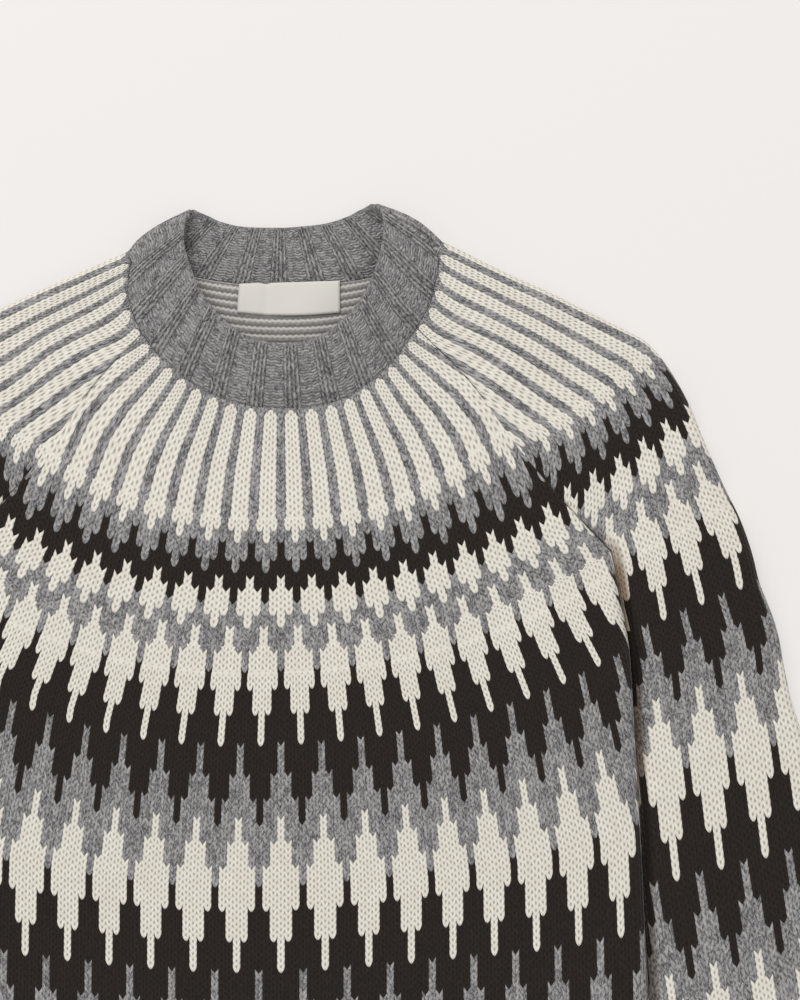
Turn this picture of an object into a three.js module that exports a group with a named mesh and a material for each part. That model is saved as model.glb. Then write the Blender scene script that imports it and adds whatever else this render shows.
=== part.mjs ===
// A fair isle jumper with raglan sleeves, laid flat on its back. Lengths in millimetres,
// X across the garment, Y up towards the neck, Z up off the table.
import * as THREE from 'three';

const WALL = 3.0;          // thickness of the stranded knit
const RIB_WALL = 3.2;      // thickness of the bands between two ribs
const RIB_RAISE = 1.8;     // how far a rib stands out from its band
const LABEL_WALL = 1.0;
const SEAM = 0.3;          // gap between two pieces at a seam
const RAGLAN_GAP = 0.4;    // the same in plan, along the slanting raglan seams
const BAND_GAP = 0.34;     // the same, where a band meets the ring of panels
const FOLD_EXTRA = 0.3;    // added to it where the neck seam turns over the shoulder
const FOLD_FROM = 78;      // distance from the centre line where that widening starts
const FOLD_OVER = 10;      // and the length over which it comes in
const CREASE_GAP = 0.7;    // gap between the body's side and the sleeve beside it
const FOLD = 6.5;          // radius of the wall's middle line where a tube folds over
const TABLE_Y = -0.3;      // puts the middle of the whole garment on Y = 0

const YOKE_STEPS = 10;     // rows of the mesh from the neck to the underarm
const BODY_STEPS = 12;     // rows of the mesh from the underarm to the hem seam
const SLEEVE_STEPS = 13;   // rows of the mesh from the underarm to the cuff seam
const PANEL_CELLS = 10;    // cells across half a panel, without its rolled edge
const SLEEVE_CELLS = 7;    // cells across one layer of a sleeve
const ROLL_CELLS = 3;
const FOLD_CELLS = 6;

const NECK_RIBS = 22;
const HEM_RIBS = 44;
const CUFF_RIBS = 10;
const CELLS_PER_RIB = 6;

// From the neck seam to the underarm. Front and back raglan seams in plan, place along the sleeve's
// top edge, centre line of the front and the back, turn of the cloth into the underarm crease in
// degrees, bow of the sleeve's rows, power of the panels' row curve, height of the raglan seam.
const YOKE = [
  { frontX: 97.6, frontY: 245.1, backX: 90.1, backY: 293.4, along: 0, frontMid: 194.8, backMid: 278.5,
    roll: 0, bow: 7.5, curve: 2.4, top: 12.6 },
  { frontX: 111.9, frontY: 229.5, backX: 112.0, backY: 272.0, along: 51, frontMid: 165.8, backMid: 240.0,
    roll: 0, bow: 7.0, curve: 2.3, top: 13.0 },
  { frontX: 133.6, frontY: 203.7, backX: 139.0, backY: 239.0, along: 101, frontMid: 139.1, backMid: 197.0,
    roll: 0, bow: 6.0, curve: 2.2, top: 13.4 },
  { frontX: 160.8, frontY: 166.3, backX: 167.0, backY: 200.0, along: 152, frontMid: 111.9, backMid: 148.0,
    roll: 8, bow: 5.0, curve: 2.0, top: 13.8 },
  { frontX: 189.5, frontY: 132.5, backX: 195.0, backY: 152.0, along: 208, frontMid: 80.0, backMid: 92.0,
    roll: 40, bow: 3.0, curve: 2.0, top: 14.3 },
  { frontX: 223.4, frontY: 97.0, backX: 223.4, backY: 97.0, along: 268, frontMid: 28.9, backMid: 28.9,
    roll: 90, bow: 1.5, curve: 2.0, top: 14.5 },
];

// From the underarm to the hem seam: centre line and how much the row's ends stand above it.
const BODY = [
  { mid: 28.9, rise: 68.1 },
  { mid: -3.7, rise: 66.0 },
  { mid: -35.0, rise: 65.3 },
  { mid: -68.0, rise: 59.5 },
  { mid: -100.3, rise: 52.7 },
  { mid: -140.0, rise: 41.5 },
  { mid: -179.2, rise: 29.3 },
  { mid: -228.0, rise: 15.0 },
  { mid: -273.0, rise: 2.0 },
];

// The crease between the body and the sleeve beside it.
const CREASE = [
  { y: 97.0, x: 223.4 },
  { y: 62.3, x: 230.2 },
  { y: 30.3, x: 235.6 },
  { y: -8.5, x: 238.2 },
  { y: -47.6, x: 240.4 },
  { y: -98.5, x: 243.3 },
  { y: -149.9, x: 245.8 },
  { y: -213.0, x: 248.8 },
  { y: -271.0, x: 248.5 },
];

// From the underarm to the cuff seam: inner edge (its height and how far it has left the crease),
// place along the sleeve's top edge, bow of the row.
const SLEEVE = [
  { innerY: 97.0, away: 0, along: 268, bow: 1.5 },
  { innerY: 30.3, away: 0, along: 349, bow: 0 },
  { innerY: -38.4, away: 0, along: 426, bow: 0 },
  { innerY: -112.5, away: 0, along: 502, bow: 0 },
  { innerY: -207.7, away: 0, along: 597, bow: 0 },
  { innerY: -279.8, away: 25.9, along: 674.6, bow: 0 },
];

// The sleeve's top edge from the neck to the cuff's end, the outline of the garment.
const TOP_EDGE = [
  { x: 105.7, y: 305.0 }, { x: 139.1, y: 291.4 }, { x: 179.2, y: 273.7 }, { x: 224.7, y: 251.3 },
  { x: 246.5, y: 240.4 }, { x: 261.0, y: 224.1 }, { x: 275.7, y: 198.9 }, { x: 288.7, y: 167.6 },
  { x: 305.0, y: 129.5 }, { x: 323.0, y: 79.0 }, { x: 336.3, y: 44.0 }, { x: 351.2, y: -16.7 },
  { x: 380.0, y: -165.0 }, { x: 409.0, y: -313.1 },
];

// The neckband's free edge, front centre to shoulder, then shoulder to back centre.
const FREE_FRONT = [
  { x: 0, y: 237.7, z: 14.5 }, { x: 21.0, y: 242.0, z: 14.6 }, { x: 38.5, y: 253.0, z: 15.0 },
  { x: 54.8, y: 272.3, z: 15.6 }, { x: 64.0, y: 293.8, z: 16.2 }, { x: 67.4, y: 311.5, z: 16.0 },
  { x: 66.4, y: 324.8, z: 13.4 }, { x: 63.0, y: 330.8, z: 8.4 },
];
const FREE_BACK = [
  { x: 63.0, y: 330.8, z: 8.4 }, { x: 57.5, y: 330.6, z: 3.4 }, { x: 51.0, y: 327.8, z: 1.8 },
  { x: 43.0, y: 323.6, z: 1.6 }, { x: 27.0, y: 319.2, z: 1.6 }, { x: 0, y: 317.4, z: 1.6 },
];
const BAND_BULGE = 2.4;    // how far the neckband swells upwards between its two edges
const FOLD_BULGE = 3.4;    // how far it swells sideways where it folds over
const BAND_STEPS = 5;

const HEM_Y = -317.9;      // lower edge of the hem
const HEM_PULL = 0.965;    // width of the hem's lower edge over that of the body
const CUFF_INNER = { x: 311.1, y: -331.4 };
const CUFF_OUTER = { x: 409.0, y: -311.6 };
const HEM_SHARES = [0, 0.12, 0.5, 1];
const CUFF_SHARES = [0, 0.1, 0.45, 1];
const CUFF_INSET = 0.02;   // share of the wrist's width by which its folds draw in
const TIP_REACH = 6;       // half the length over which the top edge's direction is taken
const LOW = 11.5;          // height of the front's middle line over the middle of the body

// The label's four corners on the back panel, how far its lower edge sags in the middle, and how high
// its two long edges lie above the panel. The upper one lies over the neck seam.
const LABEL_UPPER = [{ x: -30.7, y: 280.1 }, { x: 38.1, y: 282.1 }];
const LABEL_LOWER = [{ x: -32.2, y: 260.6 }, { x: 38.4, y: 260.4 }];
const LABEL_SAG = 2.0;
const LABEL_LIFT = { upper: 1.3, lower: 0.5 };
const LABEL_CELLS = 8;

const YARN = { ecru: 0xddd8cc, grey: 0x787675, cream: 0xdad7cf };

const mix = (a, b, t) => a + (b - a) * t;
const radians = (angle) => (angle * Math.PI) / 180;
const clamp = (t, low, high) => Math.min(Math.max(t, low), high);
const smooth = (t) => clamp(t, 0, 1) ** 2 * (3 - 2 * clamp(t, 0, 1));

// One named column of a table, on a smooth curve through its rows. Place 0 to 1.
function column(rows, name, place) {
  const last = rows.length - 1;
  const f = clamp(place, 0, 1) * last;
  const k = Math.min(Math.floor(f), last - 1);
  const t = f - k;
  const at = (i) => rows[clamp(i, 0, last)][name];
  const p0 = k > 0 ? at(k - 1) : 2 * at(0) - at(1);
  const p3 = k + 2 <= last ? at(k + 2) : 2 * at(last) - at(last - 1);
  const p1 = at(k);
  const p2 = at(k + 1);
  return p1 + 0.5 * t * (p2 - p0 + t * (2 * p0 - 5 * p1 + 4 * p2 - p3 + t * (3 * (p1 - p2) + p3 - p0)));
}

// Fine polyline through a table's rows, with the length run at each of its points.
function trace(rows) {
  const points = [];
  const steps = (rows.length - 1) * 12;
  for (let k = 0; k <= steps; k++) {
    const z = rows[0].z === undefined ? 0 : column(rows, 'z', k / steps);
    points.push(new THREE.Vector3(column(rows, 'x', k / steps), column(rows, 'y', k / steps), z));
  }
  return measured(points);
}

function measured(points) {
  const run = [0];
  for (let k = 1; k < points.length; k++) run.push(run[k - 1] + points[k].distanceTo(points[k - 1]));
  return { points, run, total: run[run.length - 1] };
}

// Point of a measured polyline at a length along it. Returns its place between two points too.
function walk(line, length) {
  const goal = clamp(length, 0, line.total);
  let k = 1;
  while (k < line.run.length - 1 && line.run[k] < goal) k++;
  const t = (goal - line.run[k - 1]) / Math.max(line.run[k] - line.run[k - 1], 1e-9);
  return { point: line.points[k - 1].clone().lerp(line.points[k], t), k, t };
}

function creaseX(y) {
  let k = 1;
  while (k < CREASE.length - 1 && CREASE[k].y > y) k++;
  const t = (CREASE[k - 1].y - y) / (CREASE[k - 1].y - CREASE[k].y);
  return column(CREASE, 'x', (k - 1 + t) / (CREASE.length - 1));
}

// Unit vectors in plan across a line of edge points, on the side away from the centre line.
function acrossEdge(edge) {
  return edge.map((point, j) => {
    const before = edge[Math.max(j - 1, 0)];
    const after = edge[Math.min(j + 1, edge.length - 1)];
    const run = new THREE.Vector3(after.x - before.x, after.y - before.y, 0).normalize();
    return new THREE.Vector3(-run.y, run.x, 0);
  });
}

const topLine = trace(TOP_EDGE);
const foldHeight = WALL / 2 + FOLD;

// Edge rows of a body panel, neck to hem. The front and the back share them below the underarm.
function panelEdges(side) {
  const rows = [];
  for (let j = 0; j <= YOKE_STEPS; j++) {
    const s = j / YOKE_STEPS;
    rows.push({ x: column(YOKE, side + 'X', s), y: column(YOKE, side + 'Y', s),
      mid: column(YOKE, side + 'Mid', s), roll: radians(column(YOKE, 'roll', s)),
      curve: column(YOKE, 'curve', s), top: column(YOKE, 'top', s), gap: RAGLAN_GAP / 2 });
  }
  for (let j = 1; j <= BODY_STEPS; j++) {
    const s = j / BODY_STEPS;
    const mid = column(BODY, 'mid', s);
    const y = mid + column(BODY, 'rise', s);
    rows.push({ x: creaseX(y), y, mid, roll: Math.PI / 2, curve: 2, top: YOKE[5].top, gap: CREASE_GAP / 2 });
  }
  rows.forEach((row) => { row.roll = clamp(row.roll, 0, Math.PI / 2); });
  return rows;
}

// Height of the wall's middle line where the cloth rolls from flat towards a side seam.
function rollHeight(top, turn, isFront) {
  const drop = 1 - Math.cos(turn);
  if (isFront) return top - (top - foldHeight - SEAM / 2) * drop;
  return WALL / 2 + (FOLD - SEAM / 2) * drop;
}

// Middle points and edge normals of a body panel. The front runs left to right, the back right to left.
function panelGrid(side) {
  const isFront = side === 'front';
  const edges = panelEdges(side);
  const across = acrossEdge(edges);
  return edges.map((row, j) => {
    const e = across[j];
    const turn = Math.max(row.roll, 1e-4);
    const back = row.gap + (WALL / 2 + FOLD) * Math.sin(turn);
    const ax = row.x - e.x * back;
    const ay = row.y - e.y * back;
    const half = [];
    for (let k = 0; k <= PANEL_CELLS; k++) {
      const t = k / PANEL_CELLS;
      const z = isFront ? mix(LOW, row.top, t ** 3) : WALL / 2;
      half.push(new THREE.Vector3(ax * t, row.mid + (ay - row.mid) * t ** row.curve, z));
    }
    for (let k = 1; k <= ROLL_CELLS; k++) {
      const phi = (turn * k) / ROLL_CELLS;
      const out = FOLD * Math.sin(phi);
      half.push(new THREE.Vector3(ax + e.x * out, ay + e.y * out, rollHeight(row.top, phi, isFront)));
    }
    const mirrored = half.slice(1).reverse().map((p) => new THREE.Vector3(-p.x, p.y, p.z));
    const line = [...mirrored, ...half];
    const up = isFront ? Math.cos(turn) : -Math.cos(turn);
    const right = new THREE.Vector3(e.x * Math.sin(turn), e.y * Math.sin(turn), up);
    const left = new THREE.Vector3(-right.x, right.y, right.z);
    return isFront ? { line, first: left, last: right } : { line: line.reverse(), first: right, last: left };
  });
}

// Middle points of the right sleeve: front seam edge, top layer, fold, under layer, back seam edge.
function sleeveGrid() {
  const rows = [];
  for (let j = 0; j <= YOKE_STEPS; j++) {
    const s = j / YOKE_STEPS;
    rows.push({ front: new THREE.Vector3(column(YOKE, 'frontX', s), column(YOKE, 'frontY', s), 0),
      back: new THREE.Vector3(column(YOKE, 'backX', s), column(YOKE, 'backY', s), 0),
      along: column(YOKE, 'along', s), roll: radians(column(YOKE, 'roll', s)),
      bow: column(YOKE, 'bow', s), top: column(YOKE, 'top', s), gap: RAGLAN_GAP / 2 });
  }
  for (let j = 1; j <= SLEEVE_STEPS; j++) {
    const s = j / SLEEVE_STEPS;
    const y = column(SLEEVE, 'innerY', s);
    const inner = new THREE.Vector3(creaseX(y) + Math.max(column(SLEEVE, 'away', s), 0), y, 0);
    rows.push({ front: inner, back: inner, along: column(SLEEVE, 'along', s), roll: Math.PI / 2,
      bow: column(SLEEVE, 'bow', s), top: YOKE[5].top, gap: CREASE_GAP / 2 });
  }
  const acrossFront = acrossEdge(rows.map((row) => row.front));
  const acrossBack = acrossEdge(rows.map((row) => row.back));
  return rows.map((row, j) => {
    const turn = clamp(row.roll, 1e-4, Math.PI / 2);
    const inset = row.gap + (WALL / 2 + FOLD) * Math.sin(turn);
    const tip = walk(topLine, row.along);
    const before = walk(topLine, row.along - TIP_REACH).point;
    const after = walk(topLine, row.along + TIP_REACH).point;
    const run = after.sub(before).normalize();
    const out = new THREE.Vector3(-run.y, run.x, 0);
    const centre = tip.point.clone().addScaledVector(out, -(FOLD + WALL / 2));
    const from = row.front.clone().addScaledVector(acrossFront[j], inset);
    const to = row.back.clone().addScaledVector(acrossBack[j], inset);
    const line = [];
    for (let k = ROLL_CELLS; k >= 1; k--) {
      const phi = (turn * k) / ROLL_CELLS;
      const p = from.clone().addScaledVector(acrossFront[j], -FOLD * Math.sin(phi));
      line.push(p.setZ(rollHeight(row.top, phi, true)));
    }
    const chord = centre.clone().sub(from);
    const bowWay = new THREE.Vector3(chord.y, -chord.x, 0).normalize();
    for (let k = 0; k < SLEEVE_CELLS; k++) {
      const t = k / SLEEVE_CELLS;
      const p = from.clone().lerp(centre, t).addScaledVector(bowWay, row.bow * Math.sin(Math.PI * t));
      line.push(p.setZ(mix(row.top, YOKE[5].top, t)));
    }
    for (let k = 0; k <= FOLD_CELLS; k++) {
      const phi = (Math.PI * k) / FOLD_CELLS;
      const p = centre.clone().addScaledVector(out, FOLD * Math.sin(phi));
      line.push(p.setZ(foldHeight + FOLD * Math.cos(phi)));
    }
    for (let k = 1; k <= SLEEVE_CELLS; k++) {
      line.push(centre.clone().lerp(to, k / SLEEVE_CELLS).setZ(WALL / 2));
    }
    for (let k = 1; k <= ROLL_CELLS; k++) {
      const phi = (turn * k) / ROLL_CELLS;
      const p = to.clone().addScaledVector(acrossBack[j], -FOLD * Math.sin(phi));
      line.push(p.setZ(rollHeight(row.top, phi, false)));
    }
    const first = acrossFront[j].clone().multiplyScalar(-Math.sin(turn)).setZ(Math.cos(turn));
    const last = acrossBack[j].clone().multiplyScalar(-Math.sin(turn)).setZ(-Math.cos(turn));
    return { line, first, last };
  });
}

function mirrorGrid(grid) {
  const flip = (v) => new THREE.Vector3(-v.x, v.y, v.z);
  return grid.map((row) => ({
    line: row.line.map(flip).reverse(),
    first: row.last && flip(row.last),
    last: row.first && flip(row.first),
    normals: row.normals && row.normals.map(flip).reverse(),
  }));
}

// Outward normals of a grid of middle points. An open grid's first and last columns are given.
function gridNormals(grid, closed) {
  const rows = grid.length;
  const count = grid[0].line.length;
  return grid.map((row, j) => row.line.map((point, i) => {
    if (row.normals) return row.normals[i];
    if (!closed && i === 0 && row.first) return row.first.clone().normalize();
    if (!closed && i === count - 1 && row.last) return row.last.clone().normalize();
    const before = closed ? (i + count - 1) % count : Math.max(i - 1, 0);
    const after = closed ? (i + 1) % count : Math.min(i + 1, count - 1);
    const side = row.line[after].clone().sub(row.line[before]).normalize();
    const down = grid[Math.min(j + 1, rows - 1)].line[i].clone().sub(grid[Math.max(j - 1, 0)].line[i]);
    return down.normalize().cross(side).normalize();
  }));
}

// A closed body from middle points: outer points moved out by half the wall plus what is raised.
function shell(name, colour, grid, wall, closed, raise) {
  const normals = gridNormals(grid, closed);
  const rows = grid.length;
  const count = grid[0].line.length;
  const position = [];
  for (const face of [1, -1]) {
    for (let j = 0; j < rows; j++) {
      for (let i = 0; i < count; i++) {
        const out = face * (wall / 2) + (face === 1 && raise ? raise(i, j) : 0);
        const p = grid[j].line[i].clone().addScaledVector(normals[j][i], out);
        position.push(p.x, p.y + TABLE_Y, p.z);
      }
    }
  }
  const outer = (i, j) => j * count + (i % count);
  const inner = (i, j) => rows * count + outer(i, j);
  const index = [];
  const quad = (a, b, c, d) => index.push(a, b, c, a, c, d);
  const cells = closed ? count : count - 1;
  for (let i = 0; i < cells; i++) {
    for (let j = 0; j < rows - 1; j++) {
      quad(outer(i, j), outer(i, j + 1), outer(i + 1, j + 1), outer(i + 1, j));
      quad(inner(i, j), inner(i + 1, j), inner(i + 1, j + 1), inner(i, j + 1));
    }
    quad(outer(i, 0), outer(i + 1, 0), inner(i + 1, 0), inner(i, 0));
    quad(outer(i + 1, rows - 1), outer(i, rows - 1), inner(i, rows - 1), inner(i + 1, rows - 1));
  }
  if (!closed) {
    for (let j = 0; j < rows - 1; j++) {
      quad(outer(0, j + 1), outer(0, j), inner(0, j), inner(0, j + 1));
      quad(outer(cells, j), outer(cells, j + 1), inner(cells, j + 1), inner(cells, j));
    }
  }
  const geometry = new THREE.BufferGeometry();
  geometry.setAttribute('position', new THREE.Float32BufferAttribute(position, 3));
  geometry.setIndex(index);
  geometry.computeVertexNormals();
  const material = new THREE.MeshStandardMaterial({ color: colour, roughness: 0.95, metalness: 0 });
  const mesh = new THREE.Mesh(geometry, material);
  mesh.name = name;
  return mesh;
}

// A closed ring of seam points with outward normals, evenly spaced, from the rows that meet it.
function seamRing(parts, count, startAt) {
  const points = [], normals = [];
  for (const part of parts) {
    const normal = gridNormals(part.grid, false)[part.row];
    part.grid[part.row].line.forEach((p, i) => { points.push(p.clone()); normals.push(normal[i]); });
  }
  points.push(points[0].clone());
  normals.push(normals[0]);
  const line = measured(points);
  const ring = [];
  for (let k = 0; k < count; k++) {
    const spot = walk(line, (startAt * line.total + (k / count) * line.total) % line.total);
    const n = normals[spot.k - 1].clone().lerp(normals[spot.k], spot.t).normalize();
    ring.push({ point: spot.point, normal: n });
  }
  return ring;
}

// Raised columns of a rib knit: up over a bit more than half of each rib, low over the rest.
function ribRaise(i, cells, fade) {
  const t = (i % cells) / cells;
  return fade * RIB_RAISE * (t < 0.5 ? 1 : 0.12);
}

// Keeps a band on the table by lifting the layer that rests on it by the height of its ribs.
function lifted(point, normal, fade) {
  return point.setZ(point.z + (RIB_RAISE * fade + (RIB_WALL - WALL) / 2) * Math.max(0, -normal.z));
}

const frontGrid = panelGrid('front');
const backGrid = panelGrid('back');
const rightGrid = sleeveGrid();
const leftGrid = mirrorGrid(rightGrid);

// The neckband stands on the ring of all four neck edges. Two stretches a side are matched by their
// share of length: front centre to shoulder fold, and shoulder fold to back centre.
function neckbandGrid() {
  const count = NECK_RIBS * CELLS_PER_RIB;
  const parts = [{ grid: frontGrid, row: 0 }, { grid: rightGrid, row: 0 },
    { grid: backGrid, row: 0 }, { grid: leftGrid, row: 0 }];
  const fine = seamRing(parts, count * 8, 0);
  let middle = 0;
  let best = 1e9;
  fine.forEach((spot, k) => {
    if (spot.normal.z > 0 && Math.abs(spot.point.x) < best) {
      best = Math.abs(spot.point.x);
      middle = k;
    }
  });
  const place = (k) => fine[(middle + k) % fine.length];
  let turn = 1;
  while (place(turn).normal.z > 0) turn++;
  let backTurn = turn;
  while (place(backTurn).normal.z <= 0) backTurn++;
  const backMiddle = (turn + backTurn) / 2;
  const frontLine = trace(FREE_FRONT);
  const backLine = trace(FREE_BACK);
  const freeFront = (share) => walk(frontLine, share * frontLine.total).point;
  const freeBack = (share) => walk(backLine, share * backLine.total).point;
  const rows = [];
  const seamNormals = [];
  for (let j = 0; j <= BAND_STEPS; j++) rows.push({ line: [] });
  for (let i = 0; i < count; i++) {
    const at = i * 8;
    const spot = place(at);
    let free;
    if (at <= turn) free = freeFront(at / turn);
    else if (at <= backMiddle) free = freeBack((at - turn) / (backMiddle - turn));
    else if (at <= backTurn) free = freeBack((backTurn - at) / (backTurn - backMiddle));
    else free = freeFront((fine.length - at) / (fine.length - backTurn));
    if (at > backMiddle) free.x = -free.x;
    const next = place(at + 4).point;
    const last = place(at + fine.length - 4).point;
    const along = next.clone().sub(last).normalize();
    const away = along.clone().cross(spot.normal).normalize().negate();
    const toFree = free.clone().sub(spot.point);
    if (away.dot(toFree) < 0) away.negate();
    const gap = BAND_GAP + FOLD_EXTRA * smooth((Math.abs(spot.point.x) - FOLD_FROM) / FOLD_OVER);
    const start = spot.point.clone().addScaledVector(away, gap);
    seamNormals.push(spot.normal);
    const swell = BAND_BULGE * Math.max(0, spot.normal.z) + FOLD_BULGE * (1 - spot.normal.z ** 2);
    for (let j = 0; j <= BAND_STEPS; j++) {
      const s = j / BAND_STEPS;
      const p = start.clone().lerp(free, s);
      p.addScaledVector(spot.normal, swell * Math.sin(Math.PI * s));
      rows[BAND_STEPS - j].line.push(lifted(p, spot.normal, smooth(s * 4)));
    }
  }
  rows[BAND_STEPS].normals = seamNormals;
  return rows;
}

// The hem hangs from the lower ring of the front and the back and pulls in a little.
function hemGrid() {
  const count = HEM_RIBS * CELLS_PER_RIB / 2;
  const last = frontGrid.length - 1;
  const ring = seamRing([{ grid: frontGrid, row: last }, { grid: backGrid, row: last }], count, 0);
  return HEM_SHARES.map((s) => ({
    normals: s === 0 ? ring.map((spot) => spot.normal) : undefined,
    line: ring.map(({ point, normal }) => {
      const pull = mix(1, HEM_PULL, smooth(s));
      const p = new THREE.Vector3(point.x * pull, mix(point.y - BAND_GAP, HEM_Y, s), point.z);
      return lifted(p, normal, smooth(s * 4));
    }),
  }));
}

// A cuff carries on from the sleeve's last row and narrows to the wrist.
function cuffGrid() {
  const count = CUFF_RIBS * CELLS_PER_RIB;
  const last = rightGrid.length - 1;
  const ring = seamRing([{ grid: rightGrid, row: last }], count, 0);
  const inner = rightGrid[last].line[0].clone().setZ(0);
  const outer = walk(topLine, column(SLEEVE, 'along', 1)).point.setZ(0);
  const span = outer.clone().sub(inner);
  const width = span.length();
  const endInner = new THREE.Vector3(CUFF_INNER.x, CUFF_INNER.y, 0);
  const endOuter = new THREE.Vector3(CUFF_OUTER.x, CUFF_OUTER.y, 0);
  const way = span.clone().normalize();
  const down = new THREE.Vector3(way.y, -way.x, 0);
  return CUFF_SHARES.map((s) => ({
    normals: s === 0 ? ring.map((spot) => spot.normal) : undefined,
    line: ring.map(({ point, normal }) => {
      const share = point.clone().setZ(0).sub(inner).dot(way) / width;
      const near = inner.clone().lerp(outer, share);
      const bent = point.clone().setZ(0).sub(near).multiplyScalar(1 - s);
      const far = endInner.clone().lerp(endOuter, mix(CUFF_INSET, 1 - CUFF_INSET, share));
      const p = near.addScaledVector(down, BAND_GAP).lerp(far, s).add(bent).setZ(point.z);
      return lifted(p, normal, smooth(s * 4));
    }),
  }));
}

// The blank label lies on the back panel's inside, its upper edge on the neck seam.
function labelGrid() {
  const along = (corners, name, t) => mix(corners[0][name], corners[1][name], t);
  const rows = [];
  for (let j = 0; j <= 2; j++) {
    const down = j / 2;
    const z = WALL + mix(LABEL_LIFT.upper, LABEL_LIFT.lower, down) + LABEL_WALL / 2;
    const line = [];
    for (let i = 0; i <= LABEL_CELLS; i++) {
      const t = i / LABEL_CELLS;
      const x = mix(along(LABEL_UPPER, 'x', t), along(LABEL_LOWER, 'x', t), down);
      const y = mix(along(LABEL_UPPER, 'y', t), along(LABEL_LOWER, 'y', t), down);
      line.push(new THREE.Vector3(x, y - LABEL_SAG * Math.sin(Math.PI * t) * down, z));
    }
    rows.push({ line });
  }
  return rows;
}

const group = new THREE.Group();
group.name = 'fair_isle_jumper';
const bandRaise = (steps) => (i, j) => ribRaise(i, CELLS_PER_RIB, smooth(((steps - j) / steps) * 4));

group.add(shell('front_panel', YARN.ecru, frontGrid, WALL, false));
group.add(shell('back_panel', YARN.ecru, backGrid, WALL, false));
group.add(shell('sleeve_right', YARN.ecru, rightGrid, WALL, false));
group.add(shell('sleeve_left', YARN.ecru, leftGrid, WALL, false));
group.add(shell('neckband', YARN.grey, neckbandGrid(), RIB_WALL, true, bandRaise(BAND_STEPS)));
group.add(shell('hem_band', YARN.grey, hemGrid(), RIB_WALL, true,
  (i, j) => ribRaise(i, CELLS_PER_RIB / 2, smooth(HEM_SHARES[j] * 4))));
const cuff = cuffGrid();
group.add(shell('cuff_right', YARN.grey, cuff, RIB_WALL, true,
  (i, j) => ribRaise(i, CELLS_PER_RIB, smooth(CUFF_SHARES[j] * 4))));
group.add(shell('cuff_left', YARN.grey, mirrorGrid(cuff), RIB_WALL, true,
  (i, j) => ribRaise(CUFF_RIBS * CELLS_PER_RIB - 1 - i, CELLS_PER_RIB, smooth(CUFF_SHARES[j] * 4))));
group.add(shell('neck_label', YARN.cream, labelGrid(), LABEL_WALL, false));

export default group;
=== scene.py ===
# The looks of a fair isle jumper laid flat on its back. Lengths in the tables are millimetres,
# X across the garment, Y up towards the neck, Z up off the table.
import math
import bpy
import numpy as np
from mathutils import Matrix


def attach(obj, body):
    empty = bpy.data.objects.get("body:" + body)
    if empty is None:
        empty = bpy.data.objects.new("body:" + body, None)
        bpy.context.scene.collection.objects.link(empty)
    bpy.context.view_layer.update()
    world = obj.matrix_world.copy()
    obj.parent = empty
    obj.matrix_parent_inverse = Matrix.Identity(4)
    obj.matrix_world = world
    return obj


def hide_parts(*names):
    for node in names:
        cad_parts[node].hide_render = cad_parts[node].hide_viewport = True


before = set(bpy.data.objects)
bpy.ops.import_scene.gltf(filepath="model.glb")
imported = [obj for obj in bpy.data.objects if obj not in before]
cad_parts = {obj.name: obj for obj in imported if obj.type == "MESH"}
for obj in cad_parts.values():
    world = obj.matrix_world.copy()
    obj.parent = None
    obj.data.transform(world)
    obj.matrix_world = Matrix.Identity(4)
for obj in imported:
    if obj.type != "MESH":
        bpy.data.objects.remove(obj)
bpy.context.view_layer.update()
bpy.ops.object.select_all(action="DESELECT")

# Sizes of the garment.
MM = 0.001
WALL = 3.0              # thickness of the stranded knit
RIB_WALL = 3.2          # thickness of a band between two ribs
RIB_RAISE = 1.8         # how far a rib stands out
LABEL_WALL = 0.5
SEAM_GAP = 0.06         # between two pieces at a raglan seam and along the crease
CREASE_HALF = 0.15      # half the gap between front and back, where they meet in the crease
EDGE_DIP = 0.2          # how far the cloth sinks at a raglan seam
BAND_GAP = 0.34         # between a band and the cloth that it hangs on
FOLD_EXTRA = 0.3        # how much more that is where the neckband folds over the shoulder
SHOULDER_X = 78         # where that starts, and how far on it is full
SHOULDER_REACH = 10
FOLD = 6.5              # radius of the wall's middle line where a tube folds over
LOW = 11.5              # height of the front's middle line at the centre
TABLE_Y = -0.3          # moves the garment to the middle of its frame
NECK_RIBS = 22
HEM_RIBS = 44
CUFF_RIBS = 10
BAND_BULGE = 2.4        # how far the neckband swells upwards between its two edges
FOLD_BULGE = 3.4        # how far it swells sideways where it folds over
RIB_KNIT = 0.48         # share of a rib that is knit, two columns wide
RIB_SQUARE = 0.35       # below 1 a rib's sides are steep and its top is flat
RIB_DENT = 0.18         # how deep the dent between a rib's two columns is, as a share
HEM_Y = -317.9          # the hem band's free edge
HEM_PULL = 0.965        # its width as a share of the body's
CUFF_INNER = (311.1, -331.4)
CUFF_OUTER = (409.0, -311.6)

# The label's corners on the back panel, left and right, the sag of its lower edge, and how high the
# middle of its cloth lies above the panel along its two long edges. Its crease runs down it at a
# share of its width, leans a little, fades towards the lower edge and pulls the edge aside.
LABEL = {
    "upper_x": [-30.7, 38.1], "upper_y": [280.1, 282.1], "upper_lift": 1.8,
    "lower_x": [-32.2, 38.4], "lower_y": [260.6, 260.4], "lower_lift": 1.0,
    "sag": 2.0, "wave": 0.25,
    "crease": 0.27, "crease_width": 0.035, "crease_depth": 1.0, "crease_lean": 0.03,
    "crease_fade": 0.6, "crease_pull": 0.9,
}

# Fineness of the meshes.
YOKE_STEPS = 60
BODY_STEPS = 84
SLEEVE_STEPS = 100
PANEL_CELLS = 56
SLEEVE_CELLS = 34
ROLL_CELLS = 6
FOLD_CELLS = 12
CELLS_PER_RIB = 24
BAND_STEPS = 26
HEM_STEPS = 16          # of the hem band and the cuffs
RING_FINE = 4           # points on the neck seam to one of the neckband

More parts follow.
